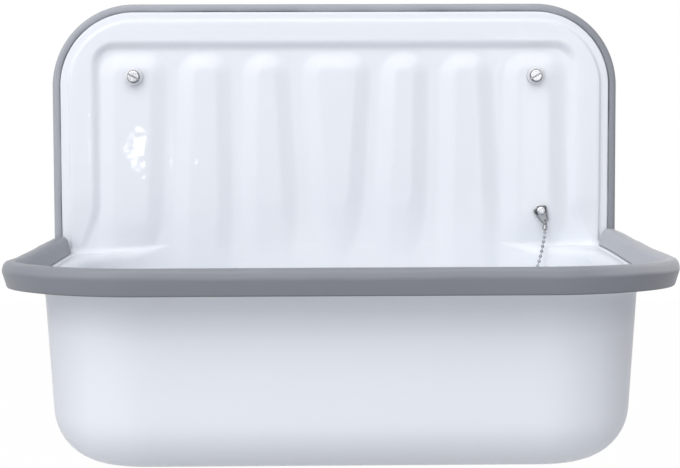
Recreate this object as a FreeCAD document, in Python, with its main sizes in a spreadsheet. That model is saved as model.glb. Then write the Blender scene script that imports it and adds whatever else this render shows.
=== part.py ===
import FreeCAD, Part
import math
import os
import types

import Sketcher

# Driving sizes in millimetres and degrees.
# The origin is on the wall, midway between the two fixing screws:
# +X to the right, +Y into the wall, +Z up.
sizes = {
    # overall
    "sink_width": 510.0,  # over the rim guard and the edge trim
    "sink_depth": 400.0,  # wall to the front of the guard
    "top_rise": 65.0,  # top of the edge trim above the fixing screws
    "crest_drop": 140.0,  # crest of the rim guard below the fixing screws
    "bowl_depth": 154.0,  # crest of the guard to the underside of the bowl
    "sheet_gauge": 2.0,  # enamelled steel
    "fit_gap": 0.3,  # between pieces that lie against each other
    "thread_gap": 0.1,  # round a thread and where links hang on each other
    # rim guard
    "guard_height": 20.0,
    "guard_width": 16.0,
    "guard_corner": 110.0,  # plan radius of the outer edge
    "guard_shoulder": 7.5,  # widest line below the crest
    "guard_crown": 6.3,  # radii of the rounded top
    "guard_spread": 1.84,  # inner corner of the top from the outer face, in crown radii
    "guard_undercut": 4.0,  # bottom edge inside the widest line
    "guard_lip": 2.0,  # lip under the flange
    "guard_lip_short": 2.0,  # lip stops this far outside the inner edge
    "guard_grip": 10.0,  # depth of the slot that takes the flange
    # edge trim
    "trim_face": 7.0,  # width seen from the front
    "trim_corner": 74.0,  # outer radius of the two top corners
    "trim_lap": 14.0,  # how far it comes forward from the wall
    "trim_web": 2.0,  # room behind the panel's turned-back edge
    "trim_nose": 2.6,  # radii of the front edge
    "trim_tongue": 9.0,  # inner leg, from the wall
    "trim_tongue_gauge": 2.0,
    # bowl
    "guard_overhang": 32.0,  # guard outside the bowl's wall
    "bowl_draft": 3.5,
    "bowl_corner": 78.0,
    "bowl_base_round": 42.0,
    "drain_back": 150.0,  # wall to the middle of the waste
    "well_over": 8.0,  # well beyond the waste's flange
    "well_drop": 3.0,
    # splashback
    "panel_front": 18.0,  # wall to the face of the border
    "panel_edge_round": 5.0,
    "recess_depth": 6.0,
    "border_width": 30.0,  # panel's edge to the mouth of the recess
    "recess_top": 30.0,  # above the fixing screws
    "recess_corner": 19.0,
    "step_run": 5.0,  # width of the slope round the recess
    "flare_rise": 40.0,  # height of the slanting ends of that slope
    "flare_run": 20.0,  # how far those ends lead outwards
    "rib_rise": 5.0,
    "rib_flank": 10.0,  # width of a rib's sloping side
    "rib_gap": 5.0,  # half the flat between two ribs
    "rib_corner": 6.0,
    "rib_soften": 10.0,  # radius along a rib's crown
    "rib_top_drop": 10.0,  # top of the ribs below the top of the recess
    "rib_stop": 4.0,  # foot of the ribs above the panel's lower edge
    "end_rib_stop": 14.0,
    "channel_a_top": 0.156,  # middles of the channels between the ribs, as shares
    "channel_a_foot": 0.1124,  # of the recess's half width
    "channel_b_top": 0.404,
    "channel_b_foot": 0.3876,
    "channel_c_top": 0.688,
    "channel_c_foot": 0.72,
    "end_channel_inset": 8.0,  # last channel inside the recess's edge
    # wall fixings
    "screw_inset": 37.0,  # recess's edge to the screw's axis
    "screw_radius": 4.0,  # over the thread
    "screw_shank": 3.6,  # plain part under the head
    "screw_thread_start": 6.0,  # thread begins this far in front of the wall
    "screw_reach": 40.0,  # beyond the wall plane
    "screw_tip": 7.0,
    "screw_tip_radius": 0.8,
    "screw_head_radius": 5.6,
    "screw_head_height": 4.6,
    "screw_head_round": 1.6,
    "slot_width": 1.6,
    "slot_depth": 2.0,
    "slot_turn": 30.0,
    "collar_radius": 7.8,
    "collar_height": 4.5,
    "collar_round": 1.5,
    "collar_barrel_wall": 1.4,
    "collar_barrel": 6.0,  # length of the part inside the panel
    # chain stay
    "stay_offset": 2.52,  # outwards from the middle of the end rib
    "stay_above": 33.7,  # above the bowl's flange
    "stay_radius": 2.2,
    "stay_head_radius": 4.2,
    "stay_head_height": 3.2,
    "stay_head_round": 2.4,
    "stay_neck": 3.2,  # room for the bail between head and washer
    "stay_tail": 8.0,  # thread behind the panel
    "stay_washer_radius": 5.0,
    "stay_washer_gauge": 1.2,
    "stay_nut_radius": 4.4,
    "stay_nut_height": 3.6,
    "bail_wire": 0.8,  # radius
    "bail_drop": 11.0,  # stay to the middle of the wire at the tip
    "bail_half": 6.2,
    "bail_tip_half": 2.6,
    "bail_tip_round": 2.2,
    "bail_lean": 23.0,
    # chain
    "chain_bead": 1.6,  # radius
    "coupling_radius": 2.1,
    "coupling_length": 3.6,
    "ring_radius": 2.6,
    "ring_wire": 0.5,
    "ring_twist": 55.0,
    # waste and plug
    "waste_thread_radius": 23.9,
    "waste_flange_over": 11.1,  # flange, seals and nut beyond the thread
    "seal_over": 10.1,
    "backnut_over": 9.1,
    "waste_flange_gauge": 1.6,
    "waste_wall": 3.6,
    "waste_mouth_wall": 1.3,  # wall left at the top of the plug's seat
    "waste_seat": 10.0,
    "outlet_radius": 20.0,
    "outlet_wall": 2.5,
    "outlet_length": 12.0,
    "thread_over": 1.0,  # thread below the backnut
    "waste_flange_round": 0.8,
    "grid_bar": 4.0,
    "grid_gauge": 2.5,
    "top_seal_gauge": 1.0,
    "bottom_seal_gauge": 3.0,
    "slip_gauge": 1.0,
    "backnut_height": 8.0,
    "plug_over": 2.4,  # lip beyond the mouth of the waste
    "plug_lip": 4.2,
    "plug_body": 9.0,
    "plug_round": 1.5,
    "eye_radius": 3.5,
    "eye_wire": 0.8,
    "eye_plate_radius": 5.0,
    "eye_plate_gauge": 0.8,
    "eye_stem": 1.5,  # radius
    "eye_stem_length": 8.0,
}


class Size:
    """A number kept together with the sheet expression that gives it."""

    def __init__(self, value, text):
        self.value = value
        self.text = text

    def __add__(self, other):
        other = as_size(other)
        return Size(self.value + other.value, f"({self.text} + {other.text})")

    def __radd__(self, other):
        return as_size(other) + self

    def __sub__(self, other):
        other = as_size(other)
        return Size(self.value - other.value, f"({self.text} - {other.text})")

    def __rsub__(self, other):
        return as_size(other) - self

    def __mul__(self, other):
        other = as_size(other)
        return Size(self.value * other.value, f"({self.text} * {other.text})")

    def __rmul__(self, other):
        return as_size(other) * self

    def __truediv__(self, other):
        other = as_size(other)
        return Size(self.value / other.value, f"({self.text} / {other.text})")

    def __neg__(self):
        return Size(-self.value, f"(0 - {self.text})")


def as_size(number):
    return number if isinstance(number, Size) else Size(float(number), repr(float(number)))


def root(size):
    return Size(math.sqrt(size.value), f"sqrt({size.text})")


def sine(angle):
    return Size(math.sin(math.radians(angle.value)), f"sin({angle.text} * 1 deg)")


def cosine(angle):
    return Size(math.cos(math.radians(angle.value)), f"cos({angle.text} * 1 deg)")


doc = FreeCAD.newDocument("mop_sink")
sheet = doc.addObject("Spreadsheet::Sheet", "Sizes")
for row, (name, value) in enumerate(sizes.items(), start=1):
    sheet.set(f"A{row}", name)
    sheet.set(f"B{row}", str(value))
    sheet.setAlias(f"B{row}", name)
doc.recompute()
s = types.SimpleNamespace(**{name: Size(value, f"Sizes.{name}") for name, value in sizes.items()})
NOTHING = as_size(0)
NEAR = 1e-4

# Heights, depths from the wall and half widths that several pieces share.
half_width = s.sink_width / 2
guard_foot = -(s.crest_drop + s.guard_height)
flange_foot = guard_foot + s.guard_lip + s.fit_gap
flange_top = flange_foot + s.sheet_gauge
bowl_foot = -(s.crest_drop + s.bowl_depth)
bowl_floor = bowl_foot + s.sheet_gauge
panel_half = half_width - s.trim_face
panel_top = s.top_rise - s.trim_face
panel_corner = s.trim_corner - s.trim_face
recess_half = panel_half - s.border_width
flare_half = recess_half + s.flare_run
recess_plane = s.panel_front - s.recess_depth
tray_back = recess_plane - s.sheet_gauge
rib_plane = recess_plane + s.rib_rise
rib_back = rib_plane - s.sheet_gauge
well_floor = bowl_floor - s.well_drop
well_foot = bowl_foot - s.well_drop
drain_y = -s.drain_back
waste_flange = s.waste_thread_radius + s.waste_flange_over
waste_mouth = s.waste_thread_radius - s.waste_mouth_wall
waste_bore = s.waste_thread_radius - s.waste_wall
well_radius = waste_flange + s.well_over
screw_across = recess_half - s.screw_inset
end_channel = recess_half - s.end_channel_inset
stay_across = (recess_half * s.channel_c_foot + end_channel) / 2 + s.stay_offset
stay_height = flange_top + s.stay_above
stay_hole = s.stay_radius + s.fit_gap


# Sketches and features.


def bind(feature, path, size):
    feature.setExpression(path, as_size(size).text)


def new_body(label):
    body = doc.addObject("PartDesign::Body", label)
    body.Label = label
    return body


def place(body, x, y, z):
    for axis, size in zip("xyz", (x, y, z)):
        bind(body, ".Placement.Base." + axis, size)
    body.Placement.Base = FreeCAD.Vector(*(as_size(size).value for size in (x, y, z)))


def origin_plane(body, role):
    return next(item for item in body.Origin.OriginFeatures if item.Role == role + "_Plane")


def new_sketch(body, name, plane, offset=NOTHING):
    sketch = body.newObject("Sketcher::SketchObject", body.Label + "_" + name)
    sketch.AttachmentSupport = (origin_plane(body, plane), [""])
    sketch.MapMode = "FlatFace"
    bind(sketch, ".AttachmentOffset.Base.z", offset)
    return sketch


def pin(sketch, edge, end, x, y):
    """Ties a point of a sketch to its two distances from the sketch's origin."""
    for kind, size in (("DistanceX", as_size(x)), ("DistanceY", as_size(y))):
        index = sketch.addConstraint(Sketcher.Constraint(kind, -1, 1, edge, end, size.value))
        sketch.setExpression(f"Constraints[{index}]", size.text)


def fix_radius(sketch, edge, radius):
    index = sketch.addConstraint(Sketcher.Constraint("Radius", edge, radius.value))
    sketch.setExpression(f"Constraints[{index}]", radius.text)


def add_circle(sketch, x, y, radius):
    x, y, radius = as_size(x), as_size(y), as_size(radius)
    centre = FreeCAD.Vector(x.value, y.value, 0)
    edge = sketch.addGeometry(Part.Circle(centre, FreeCAD.Vector(0, 0, 1), radius.value), False)
    pin(sketch, edge, 3, x, y)
    fix_radius(sketch, edge, radius)


def add_round(sketch, before, after, corner, start, stop, radius):
    """An arc of the given radius between the ends of two lines."""
    inward = ((start + stop) * 0.5 - corner).normalize()
    centre = corner + inward * math.hypot(radius.value, (start - corner).Length)
    left_turn = (corner - start).cross(stop - corner).z > 0
    ends = (start, stop) if left_turn else (stop, start)
    angles = [math.atan2(end.y - centre.y, end.x - centre.x) for end in ends]
    ring = Part.Circle(centre, FreeCAD.Vector(0, 0, 1), radius.value)
    arc = sketch.addGeometry(Part.ArcOfCircle(ring, *angles), False)
    near, far = (1, 2) if left_turn else (2, 1)
    sketch.addConstraint(Sketcher.Constraint("Tangent", before, 2, arc, near))
    sketch.addConstraint(Sketcher.Constraint("Tangent", after, 1, arc, far))
    fix_radius(sketch, arc, radius)


def add_outline(sketch, corners, closed=True):
    """Straight lines through the corners, each given as (x, y) or (x, y, radius of its round)."""
    spots = [[as_size(number) for number in corner] for corner in corners]
    points = [FreeCAD.Vector(spot[0].value, spot[1].value, 0) for spot in spots]
    count = len(spots)
    runs = count if closed else count - 1

    def line_end(i, toward):
        """Where the line from corner i towards its neighbour starts, past the corner's round."""
        if len(spots[i]) < 3:
            return points[i]
        way = (points[toward % count] - points[i]).normalize()
        back = (points[(2 * i - toward) % count] - points[i]).normalize()
        return points[i] + way * (spots[i][2].value / math.tan(back.getAngle(way) / 2))

    marks = []
    for point, spot in zip(points, spots):
        mark = sketch.addGeometry(Part.Point(point), True)
        pin(sketch, mark, 1, spot[0], spot[1])
        marks.append(mark)
    lines = []
    for i in range(runs):
        following = (i + 1) % count
        segment = Part.LineSegment(line_end(i, i + 1), line_end(following, following - 1))
        line = sketch.addGeometry(segment, False)
        lines.append(line)
        for corner, end in ((i, 1), (following, 2)):
            if len(spots[corner]) < 3:
                tie = Sketcher.Constraint("Coincident", marks[corner], 1, line, end)
            else:
                tie = Sketcher.Constraint("PointOnObject", marks[corner], 1, line)
            sketch.addConstraint(tie)
    for i in range(count):
        if len(spots[i]) == 3:
            start, stop = line_end(i, i - 1), line_end(i, i + 1)
            add_round(sketch, lines[i - 1], lines[i], points[i], start, stop, spots[i][2])


def add_feature(body, kind, name):
    return body.newObject("PartDesign::" + kind, body.Label + "_" + name)


def extrude(body, kind, name, sketch, length, reverse=False, taper=NOTHING):
    feature = add_feature(body, kind, name)
    feature.Profile = sketch
    feature.Reversed = reverse
    bind(feature, "Length", length)
    bind(feature, "TaperAngle", taper)
    doc.recompute()
    return feature


def loft(body, kind, name, first, second):
    feature = add_feature(body, kind, name)
    feature.Profile = first
    feature.Sections = [second]
    feature.Ruled = True
    doc.recompute()
    return feature


def pipe(body, name, profile, path):
    feature = add_feature(body, "AdditivePipe", name)
    feature.Profile = profile
    feature.Spine = path
    doc.recompute()
    return feature


def round_edges(body, name, base, chosen, radius):
    edges = [f"Edge{i}" for i, edge in enumerate(base.Shape.Edges, start=1) if chosen(edge)]
    feature = add_feature(body, "Fillet", name)
    feature.Base = (base, edges)
    bind(feature, "Radius", radius)
    doc.recompute()
    return feature


def mirror_sideways(body, name, originals):
    feature = add_feature(body, "Mirrored", name)
    feature.Originals = originals
    feature.MirrorPlane = (origin_plane(body, "YZ"), [""])
    body.Tip = feature
    doc.recompute()
    return feature


def turn(body, name, plane, offset, axis, corners):
    """A turned piece: corners are (radius, place along the axis), with rounds as in add_outline.
    The axis is upright in the sketch, at this distance from the sketch's origin."""
    sketch = new_sketch(body, name + "_half", plane, offset)
    add_outline(sketch, [(axis + radius, *rest) for radius, *rest in corners])
    centre = sketch.addGeometry(
        Part.LineSegment(FreeCAD.Vector(axis.value, 0, 0), FreeCAD.Vector(axis.value, 1, 0)), True
    )
    pin(sketch, centre, 1, axis, 0)
    pin(sketch, centre, 2, axis, 1)
    feature = add_feature(body, "Revolution", name)
    feature.Profile = sketch
    feature.ReferenceAxis = (sketch, ["Axis0"])
    feature.Angle = 360
    doc.recompute()
    return feature


def at_height(edge, height):
    return all(abs(vertex.Z - height.value) < NEAR for vertex in edge.Vertexes)


def at_depth(edge, depth):
    return edge.BoundBox.YLength < NEAR and abs(edge.CenterOfMass.y + depth.value) < NEAR


# Enamelled steel pressings.


def plan_outline(half, front, back, front_round=None, back_round=None):
    """A plan symmetric about X = 0, from the back to the front, with its corners rounded."""
    front_end = () if front_round is None else (front_round,)
    back_end = () if back_round is None else (back_round,)
    return [
        (-half, -front, *front_end),
        (half, -front, *front_end),
        (half, -back, *back_end),
        (-half, -back, *back_end),
    ]


def make_bowl():
    body = new_body("bowl")
    wall_half = half_width - s.guard_overhang
    wall_front = s.sink_depth - s.guard_overhang
    height = flange_top - bowl_foot

    sketch = new_sketch(body, "outside", "XY", flange_top)
    add_outline(sketch, plan_outline(wall_half, wall_front, tray_back, s.bowl_corner, s.bowl_corner))
    extrude(body, "Pad", "block", sketch, height, True, -s.bowl_draft)

    sketch = new_sketch(body, "flange_plan", "XY", flange_top)
    reach = s.guard_width - s.guard_grip + s.fit_gap
    flange_corner = s.guard_corner - reach
    add_outline(sketch, plan_outline(half_width - reach, s.sink_depth - reach, tray_back, flange_corner))
    extrude(body, "Pad", "flange", sketch, s.sheet_gauge, True)

    sketch = new_sketch(body, "inside", "XY", flange_top)
    inner_half = wall_half - s.sheet_gauge
    inner_front = wall_front - s.sheet_gauge
    inner_corner = s.bowl_corner - s.sheet_gauge
    add_outline(sketch, plan_outline(inner_half, inner_front, recess_plane, inner_corner, inner_corner))
    shell = extrude(body, "Pocket", "cavity", sketch, height - s.sheet_gauge, False, -s.bowl_draft)
    inner_round = s.bowl_base_round - s.sheet_gauge
    shell = round_edges(body, "inner_base", shell, lambda e: at_height(e, bowl_floor), inner_round)
    round_edges(body, "outer_base", shell, lambda e: at_height(e, bowl_foot), s.bowl_base_round)

    discs = (
        ("Pad", "well", bowl_foot, well_radius, s.well_drop, True),
        ("Pocket", "well_inside", bowl_floor, well_radius - s.sheet_gauge, s.well_drop, False),
        ("Pocket", "drain_hole", well_floor, s.waste_thread_radius + s.fit_gap, s.sheet_gauge, False),
    )
    for kind, name, height, radius, length, reverse in discs:
        sketch = new_sketch(body, name + "_plan", "XY", height)
        add_circle(sketch, 0, drain_y, radius)
        extrude(body, kind, name, sketch, length, reverse)
    return body


def bend_ease(run, rise):
    """How far a slope's far side stands off when the sheet keeps its gauge round the bend."""
    return s.sheet_gauge * (root(run * run + rise * rise) - run) / rise


def recess_plan(body, name, depth, inset, overrun):
    """The panel's recess at one depth from the wall; a cut overruns the lower edge."""
    sketch = new_sketch(body, name, "XZ", depth)
    half = recess_half - inset
    flare = flare_half - inset
    top = s.recess_top - inset
    corner = s.recess_corner - inset
    bend = flange_top + s.flare_rise
    below = [(-flare, flange_top - s.panel_front), (flare, flange_top - s.panel_front)]
    outline = [
        (flare, flange_top),
        (half, bend),
        (half, top, corner),
        (-half, top, corner),
        (-half, bend),
        (-flare, flange_top),
    ]
    add_outline(sketch, below + outline if overrun else outline)
    return sketch


def rib_plan(body, name, depth, rib, inset):
    """One rib at one depth from the wall, between its two channels."""
    sketch = new_sketch(body, name, "XZ", depth)
    left, right, stop = rib
    side = s.rib_gap + inset
    foot = flange_top + stop + inset
    top = s.recess_top - s.rib_top_drop - inset
    corner = s.rib_corner + s.rib_flank - inset
    outline = [
        (left[1] + side, foot, corner),
        (right[1] - side, foot, corner),
        (right[0] - side, top, corner),
        (left[0] + side, top, corner),
    ]
    add_outline(sketch, outline)
    return sketch


def make_splashback():
    body = new_body("splashback")
    plate_back = s.panel_front - s.sheet_gauge

    def panel_plan(name, inset, overrun):
        sketch = new_sketch(body, name, "XZ", s.trim_web)
        half = panel_half - inset
        top = panel_top - inset
        corner = panel_corner - inset
        foot = flange_top - overrun
        add_outline(sketch, [(-half, foot), (half, foot), (half, top, corner), (-half, top, corner)])
        return sketch

    def border_edge(depth):
        return lambda e: at_depth(e, depth) and e.CenterOfMass.z > flange_top.value + NEAR

    block = extrude(body, "Pad", "block", panel_plan("outline", NOTHING, NOTHING), s.panel_front - s.trim_web)
    round_edges(body, "edge", block, border_edge(s.panel_front), s.panel_edge_round)
    inside = panel_plan("inner_outline", s.sheet_gauge, s.panel_front)
    hollow = extrude(body, "Pocket", "hollow", inside, plate_back - s.trim_web, True)
    round_edges(body, "inner_edge", hollow, border_edge(plate_back), s.panel_edge_round - s.sheet_gauge)

    ease = bend_ease(s.step_run, s.recess_depth)
    tray_mouth = recess_plan(body, "tray_mouth", plate_back, -ease, False)
    tray_floor = recess_plan(body, "tray_floor", tray_back, s.step_run - ease, False)
    loft(body, "AdditiveLoft", "tray", tray_mouth, tray_floor)
    recess_mouth = recess_plan(body, "recess_mouth", s.panel_front, NOTHING, True)
    recess_floor = recess_plan(body, "recess_floor", recess_plane, s.step_run, True)
    loft(body, "SubtractiveLoft", "recess", recess_mouth, recess_floor)

    a = (recess_half * s.channel_a_top, recess_half * s.channel_a_foot)
    b = (recess_half * s.channel_b_top, recess_half * s.channel_b_foot)
    c = (recess_half * s.channel_c_top, recess_half * s.channel_c_foot)
    d = (end_channel, end_channel)
    ribs = {
        "middle": ((-a[0], -a[1]), a, s.rib_stop),
        "inner": (a, b, s.rib_stop),
        "outer": (b, c, s.rib_stop),
        "end": (c, d, s.end_rib_stop),
    }
    ease = bend_ease(s.rib_flank, s.rib_rise)
    paired = []
    for name, rib in ribs.items():
        foot = rib_plan(body, name + "_foot", recess_plane, rib, NOTHING)
        crown = rib_plan(body, name + "_crown", rib_plane, rib, s.rib_flank)
        front = loft(body, "AdditiveLoft", name + "_rib", foot, crown)
        mouth = rib_plan(body, name + "_flute_mouth", tray_back, rib, ease)
        end = rib_plan(body, name + "_flute_end", rib_back, rib, s.rib_flank + ease)
        back = loft(body, "SubtractiveLoft", name + "_flute", mouth, end)
        if name != "middle":
            paired += [front, back]
    panel = mirror_sideways(body, "left_ribs", paired)
    round_edges(body, "crowns", panel, lambda e: at_depth(e, rib_plane), s.rib_soften)

    fixing_hole = s.screw_radius + s.fit_gap + s.collar_barrel_wall + s.fit_gap
    holes = (
        ("right_hole", screw_across, NOTHING, fixing_hole),
        ("left_hole", -screw_across, NOTHING, fixing_hole),
        ("stay_hole", stay_across, stay_height, stay_hole),
    )
    for name, across, height, radius in holes:
        sketch = new_sketch(body, name + "_plan", "XZ", rib_plane)
        add_circle(sketch, across, height, radius)
        extrude(body, "Pocket", name, sketch, s.rib_rise + s.sheet_gauge)
    return body


# Moulded strips.


def make_rim_guard():
    body = new_body("rim_guard")
    start = s.panel_front + s.fit_gap
    path = new_sketch(body, "path", "XY", guard_foot)
    line = [
        (-half_width, -start),
        (-half_width, -s.sink_depth, s.guard_corner),
        (half_width, -s.sink_depth, s.guard_corner),
        (half_width, -start),
    ]
    add_outline(path, line, closed=False)
    section = new_sketch(body, "section", "XZ", start)
    slot_end = s.guard_width - s.guard_grip
    lip_end = s.guard_width - s.guard_lip_short
    slot_top = s.guard_lip + s.sheet_gauge + 2 * s.fit_gap
    outline = [
        (s.guard_undercut, NOTHING),
        (lip_end, NOTHING),
        (lip_end, s.guard_lip),
        (slot_end, s.guard_lip),
        (slot_end, slot_top),
        (s.guard_width, slot_top),
        (s.guard_crown * s.guard_spread, s.guard_height, s.guard_crown),
        (NOTHING, s.guard_height, s.guard_crown),
        (NOTHING, s.guard_height - s.guard_shoulder),
    ]
    add_outline(section, [(across - half_width, guard_foot + up, *more) for across, up, *more in outline])
    pipe(body, "strip", section, path)
    return body


def make_edge_trim():
    body = new_body("edge_trim")
    foot = flange_top + s.fit_gap
    path = new_sketch(body, "path", "XZ")
    line = [
        (-half_width, foot),
        (-half_width, s.top_rise, s.trim_corner),
        (half_width, s.top_rise, s.trim_corner),
        (half_width, foot),
    ]
    add_outline(path, line, closed=False)
    section = new_sketch(body, "section", "XY", foot)
    leg = s.trim_face - s.fit_gap
    web = s.trim_web - s.fit_gap
    tongue = s.trim_face + s.sheet_gauge + s.fit_gap
    outline = [
        (NOTHING, NOTHING),
        (NOTHING, s.trim_lap, s.trim_nose),
        (leg, s.trim_lap, s.trim_nose),
        (leg, web),
        (tongue, web),
        (tongue, s.trim_tongue),
        (tongue + s.trim_tongue_gauge, s.trim_tongue),
        (tongue + s.trim_tongue_gauge, NOTHING),
    ]
    add_outline(section, [(across - half_width, -out, *more) for across, out, *more in outline])
    pipe(body, "strip", section, path)
    return body


# Wall fixings, the same on both sides.


def make_fixing_screws():
    body = new_body("fixing_screws")
    across = screw_across
    seat = -(rib_plane + s.collar_height)
    face = seat - s.screw_head_height
    tip = s.screw_reach
    profile = [
        (NOTHING, face),
        (s.screw_head_radius, face, s.screw_head_round),
        (s.screw_head_radius, seat),
        (s.screw_shank, seat),
        (s.screw_shank, -s.screw_thread_start),
        (s.screw_radius, -s.screw_thread_start),
        (s.screw_radius, tip - s.screw_tip),
        (s.screw_tip_radius, tip),
        (NOTHING, tip),
    ]
    screw = turn(body, "screw", "XY", NOTHING, across, profile)
    sketch = new_sketch(body, "slot_plan", "XZ", -face)
    along = (cosine(s.slot_turn) * s.screw_head_radius * 2, sine(s.slot_turn) * s.screw_head_radius * 2)
    aside = (-sine(s.slot_turn) * s.slot_width / 2, cosine(s.slot_turn) * s.slot_width / 2)
    signs = ((-1, -1), (1, -1), (1, 1), (-1, 1))
    corners = [[i * along[k] + j * aside[k] for k in (0, 1)] for i, j in signs]
    add_outline(sketch, [(across + x, z) for x, z in corners])
    slot = extrude(body, "Pocket", "slot", sketch, s.slot_depth)
    mirror_sideways(body, "left_screw", [screw, slot])
    return body


def make_fixing_collars():
    body = new_body("fixing_collars")
    bore = s.screw_radius + s.fit_gap
    barrel = bore + s.collar_barrel_wall
    seat = -rib_plane
    profile = [
        (bore, seat - s.collar_height),
        (s.collar_radius, seat - s.collar_height, s.collar_round),
        (s.collar_radius, seat),
        (barrel, seat),
        (barrel, seat + s.collar_barrel),
        (bore, seat + s.collar_barrel),
    ]
    collar = turn(body, "collar", "XY", NOTHING, screw_across, profile)
    mirror_sideways(body, "left_collar", [collar])
    return body


# The stay that carries the chain, on the right-hand rib.
washer_face = rib_plane + s.stay_washer_gauge
neck_face = washer_face + s.stay_neck
nut_seat = rib_back - s.stay_washer_gauge


def make_stay_piece(label, profile):
    body = new_body(label)
    turn(body, "turned", "XY", stay_height, stay_across, profile)
    return body


def make_stay_screw():
    tail = rib_back - s.stay_tail
    profile = [
        (NOTHING, -neck_face - s.stay_head_height),
        (s.stay_head_radius, -neck_face - s.stay_head_height, s.stay_head_round),
        (s.stay_head_radius, -neck_face),
        (s.stay_radius, -neck_face),
        (s.stay_radius, -tail),
        (NOTHING, -tail),
    ]
    return make_stay_piece("stay_screw", profile)


def ring_profile(inner, outer, start, stop):
    return [(inner, start), (outer, start), (outer, stop), (inner, stop)]


def make_stay_washers():
    front = ring_profile(stay_hole, s.stay_washer_radius, -washer_face, -rib_plane)
    rear = ring_profile(stay_hole, s.stay_washer_radius, -rib_back, -nut_seat)
    return [make_stay_piece("stay_washer", front), make_stay_piece("stay_rear_washer", rear)]


def hexagon(across, up, radius):
    angles = [math.radians(60 * i) for i in range(6)]
    return [(across + radius * math.cos(angle), up + radius * math.sin(angle)) for angle in angles]


def make_stay_nut():
    body = new_body("stay_nut")
    sketch = new_sketch(body, "plan", "XZ", nut_seat)
    add_outline(sketch, hexagon(stay_across, stay_height, s.stay_nut_radius))
    add_circle(sketch, stay_across, stay_height, s.stay_radius + s.thread_gap)
    extrude(body, "Pad", "nut", sketch, s.stay_nut_height, True)
    return body


def make_stay_bail():
    """A closed wire loop, drawn hanging straight down and then leaned about the stay."""
    body = new_body("stay_bail")
    rest = s.stay_radius + s.bail_wire + s.thread_gap
    path = new_sketch(body, "path", "XZ")
    loop = [
        (NOTHING, -s.bail_drop),
        (s.bail_tip_half, -s.bail_drop, s.bail_tip_round),
        (s.bail_half, rest, s.bail_tip_round),
        (-s.bail_half, rest, s.bail_tip_round),
        (-s.bail_tip_half, -s.bail_drop, s.bail_tip_round),
    ]
    add_outline(path, loop)
    section = new_sketch(body, "section", "YZ")
    add_circle(section, 0, -s.bail_drop, s.bail_wire)
    pipe(body, "loop", section, path)
    place(body, stay_across, -(washer_face + s.stay_neck / 2), stay_height)
    body.Placement.Rotation = FreeCAD.Rotation(FreeCAD.Vector(0, -1, 0), s.bail_lean.value)
    bind(body, ".Placement.Rotation.Angle", s.bail_lean)
    return body


# Ball chain: an upper stretch on the bail and a lower one that ends at the plug.
upper_route = [
    (189.72, -21.55, -139.46),
    (189.2, -23.1, -145.0),
    (187.3, -28.6, -151.5),
    (185.2, -32.2, -159.5),
    (182.4, -34.9, -168.5),
    (179.4, -37.3, -178.0),
]
lower_route = [
    (179.4, -37.3, -178.0),
    (175.95, -40.06, -188.925),
    (168.6, -45.0, -208.5),
    (158.8, -51.3, -230.5),
    (146.8, -58.8, -251.5),
    (133.0, -67.2, -269.9),
    (117.0, -77.0, -283.2),
    (98.5, -88.8, -289.6),
    (80.0, -102.5, -290.2),
    (63.5, -117.5, -290.2),
    (49.5, -133.0, -290.0),
    (37.0, -144.5, -288.2),
    (23.0, -149.8, -283.6),
    (11.2, -150.0, -283.2),
]
bend_share = 0.45  # of the shorter run beside a corner


def corner_arc(before, corner, after):
    """The largest tangent arc that its two runs allow, as its ends, its middle and its radius."""
    back = before - corner
    onward = after - corner
    reach = bend_share * min(back.Length, onward.Length)
    half_turn = (math.pi - back.getAngle(onward)) / 2
    radius = reach / math.tan(half_turn)
    start = corner + back.normalize() * reach
    stop = corner + onward.normalize() * reach
    inward = ((start + stop) * 0.5 - corner).normalize()
    middle = corner + inward * (radius / math.cos(half_turn) - radius)
    return start, middle, stop, radius


def make_cord(label, route, radius):
    points = [FreeCAD.Vector(*point) for point in route]
    edges = []
    radii = []
    at = points[0]
    for before, corner, after in zip(points, points[1:], points[2:]):
        start, middle, stop, bend = corner_arc(before, corner, after)
        edges.append(Part.LineSegment(at, start).toShape())
        edges.append(Part.Arc(start, middle, stop).toShape())
        radii.append(bend)
        at = stop
    edges.append(Part.LineSegment(at, points[-1]).toShape())
    path = Part.Wire(edges)
    ring = Part.Wire(Part.makeCircle(radius, points[0], points[1] - points[0]))
    tube = path.makePipeShell([ring], True, False)
    expected = math.pi * radius**2 * path.Length
    print(label, "radii", [round(bend, 1) for bend in radii], "length", round(path.Length, 1))
    print(label, "volume against section times length", round(tube.Volume / expected, 4))
    piece = doc.addObject("Part::Feature", label)
    piece.Label = label
    piece.Shape = tube
    piece.Placement = FreeCAD.Placement()
    return piece


def make_coupling(label, ring_centre, chain_end, twist):
    """A clasp over the chain's end bead with a ring beyond it; the ring lies at ring_centre."""
    barrel = doc.addObject("Part::Cylinder", label + "_barrel")
    bind(barrel, "Radius", s.coupling_radius)
    bind(barrel, "Height", s.coupling_length)
    ring = doc.addObject("Part::Torus", label + "_ring")
    bind(ring, "Radius1", s.ring_radius)
    bind(ring, "Radius2", s.ring_wire)
    ring.Placement.Rotation = FreeCAD.Rotation(FreeCAD.Vector(1, 0, 0), 90)
    reach = s.coupling_length + s.ring_radius
    bind(ring, ".Placement.Base.z", reach)
    piece = doc.addObject("Part::Fuse", label)
    piece.Label = label
    piece.Base = barrel
    piece.Tool = ring
    away = (ring_centre - chain_end).normalize()
    swing = FreeCAD.Rotation(FreeCAD.Vector(0, 0, 1), away)
    spin = FreeCAD.Rotation(FreeCAD.Vector(0, 0, 1), twist)
    piece.Placement = FreeCAD.Placement(ring_centre - away * reach.value, swing.multiply(spin))
    doc.recompute()
    return piece


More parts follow.
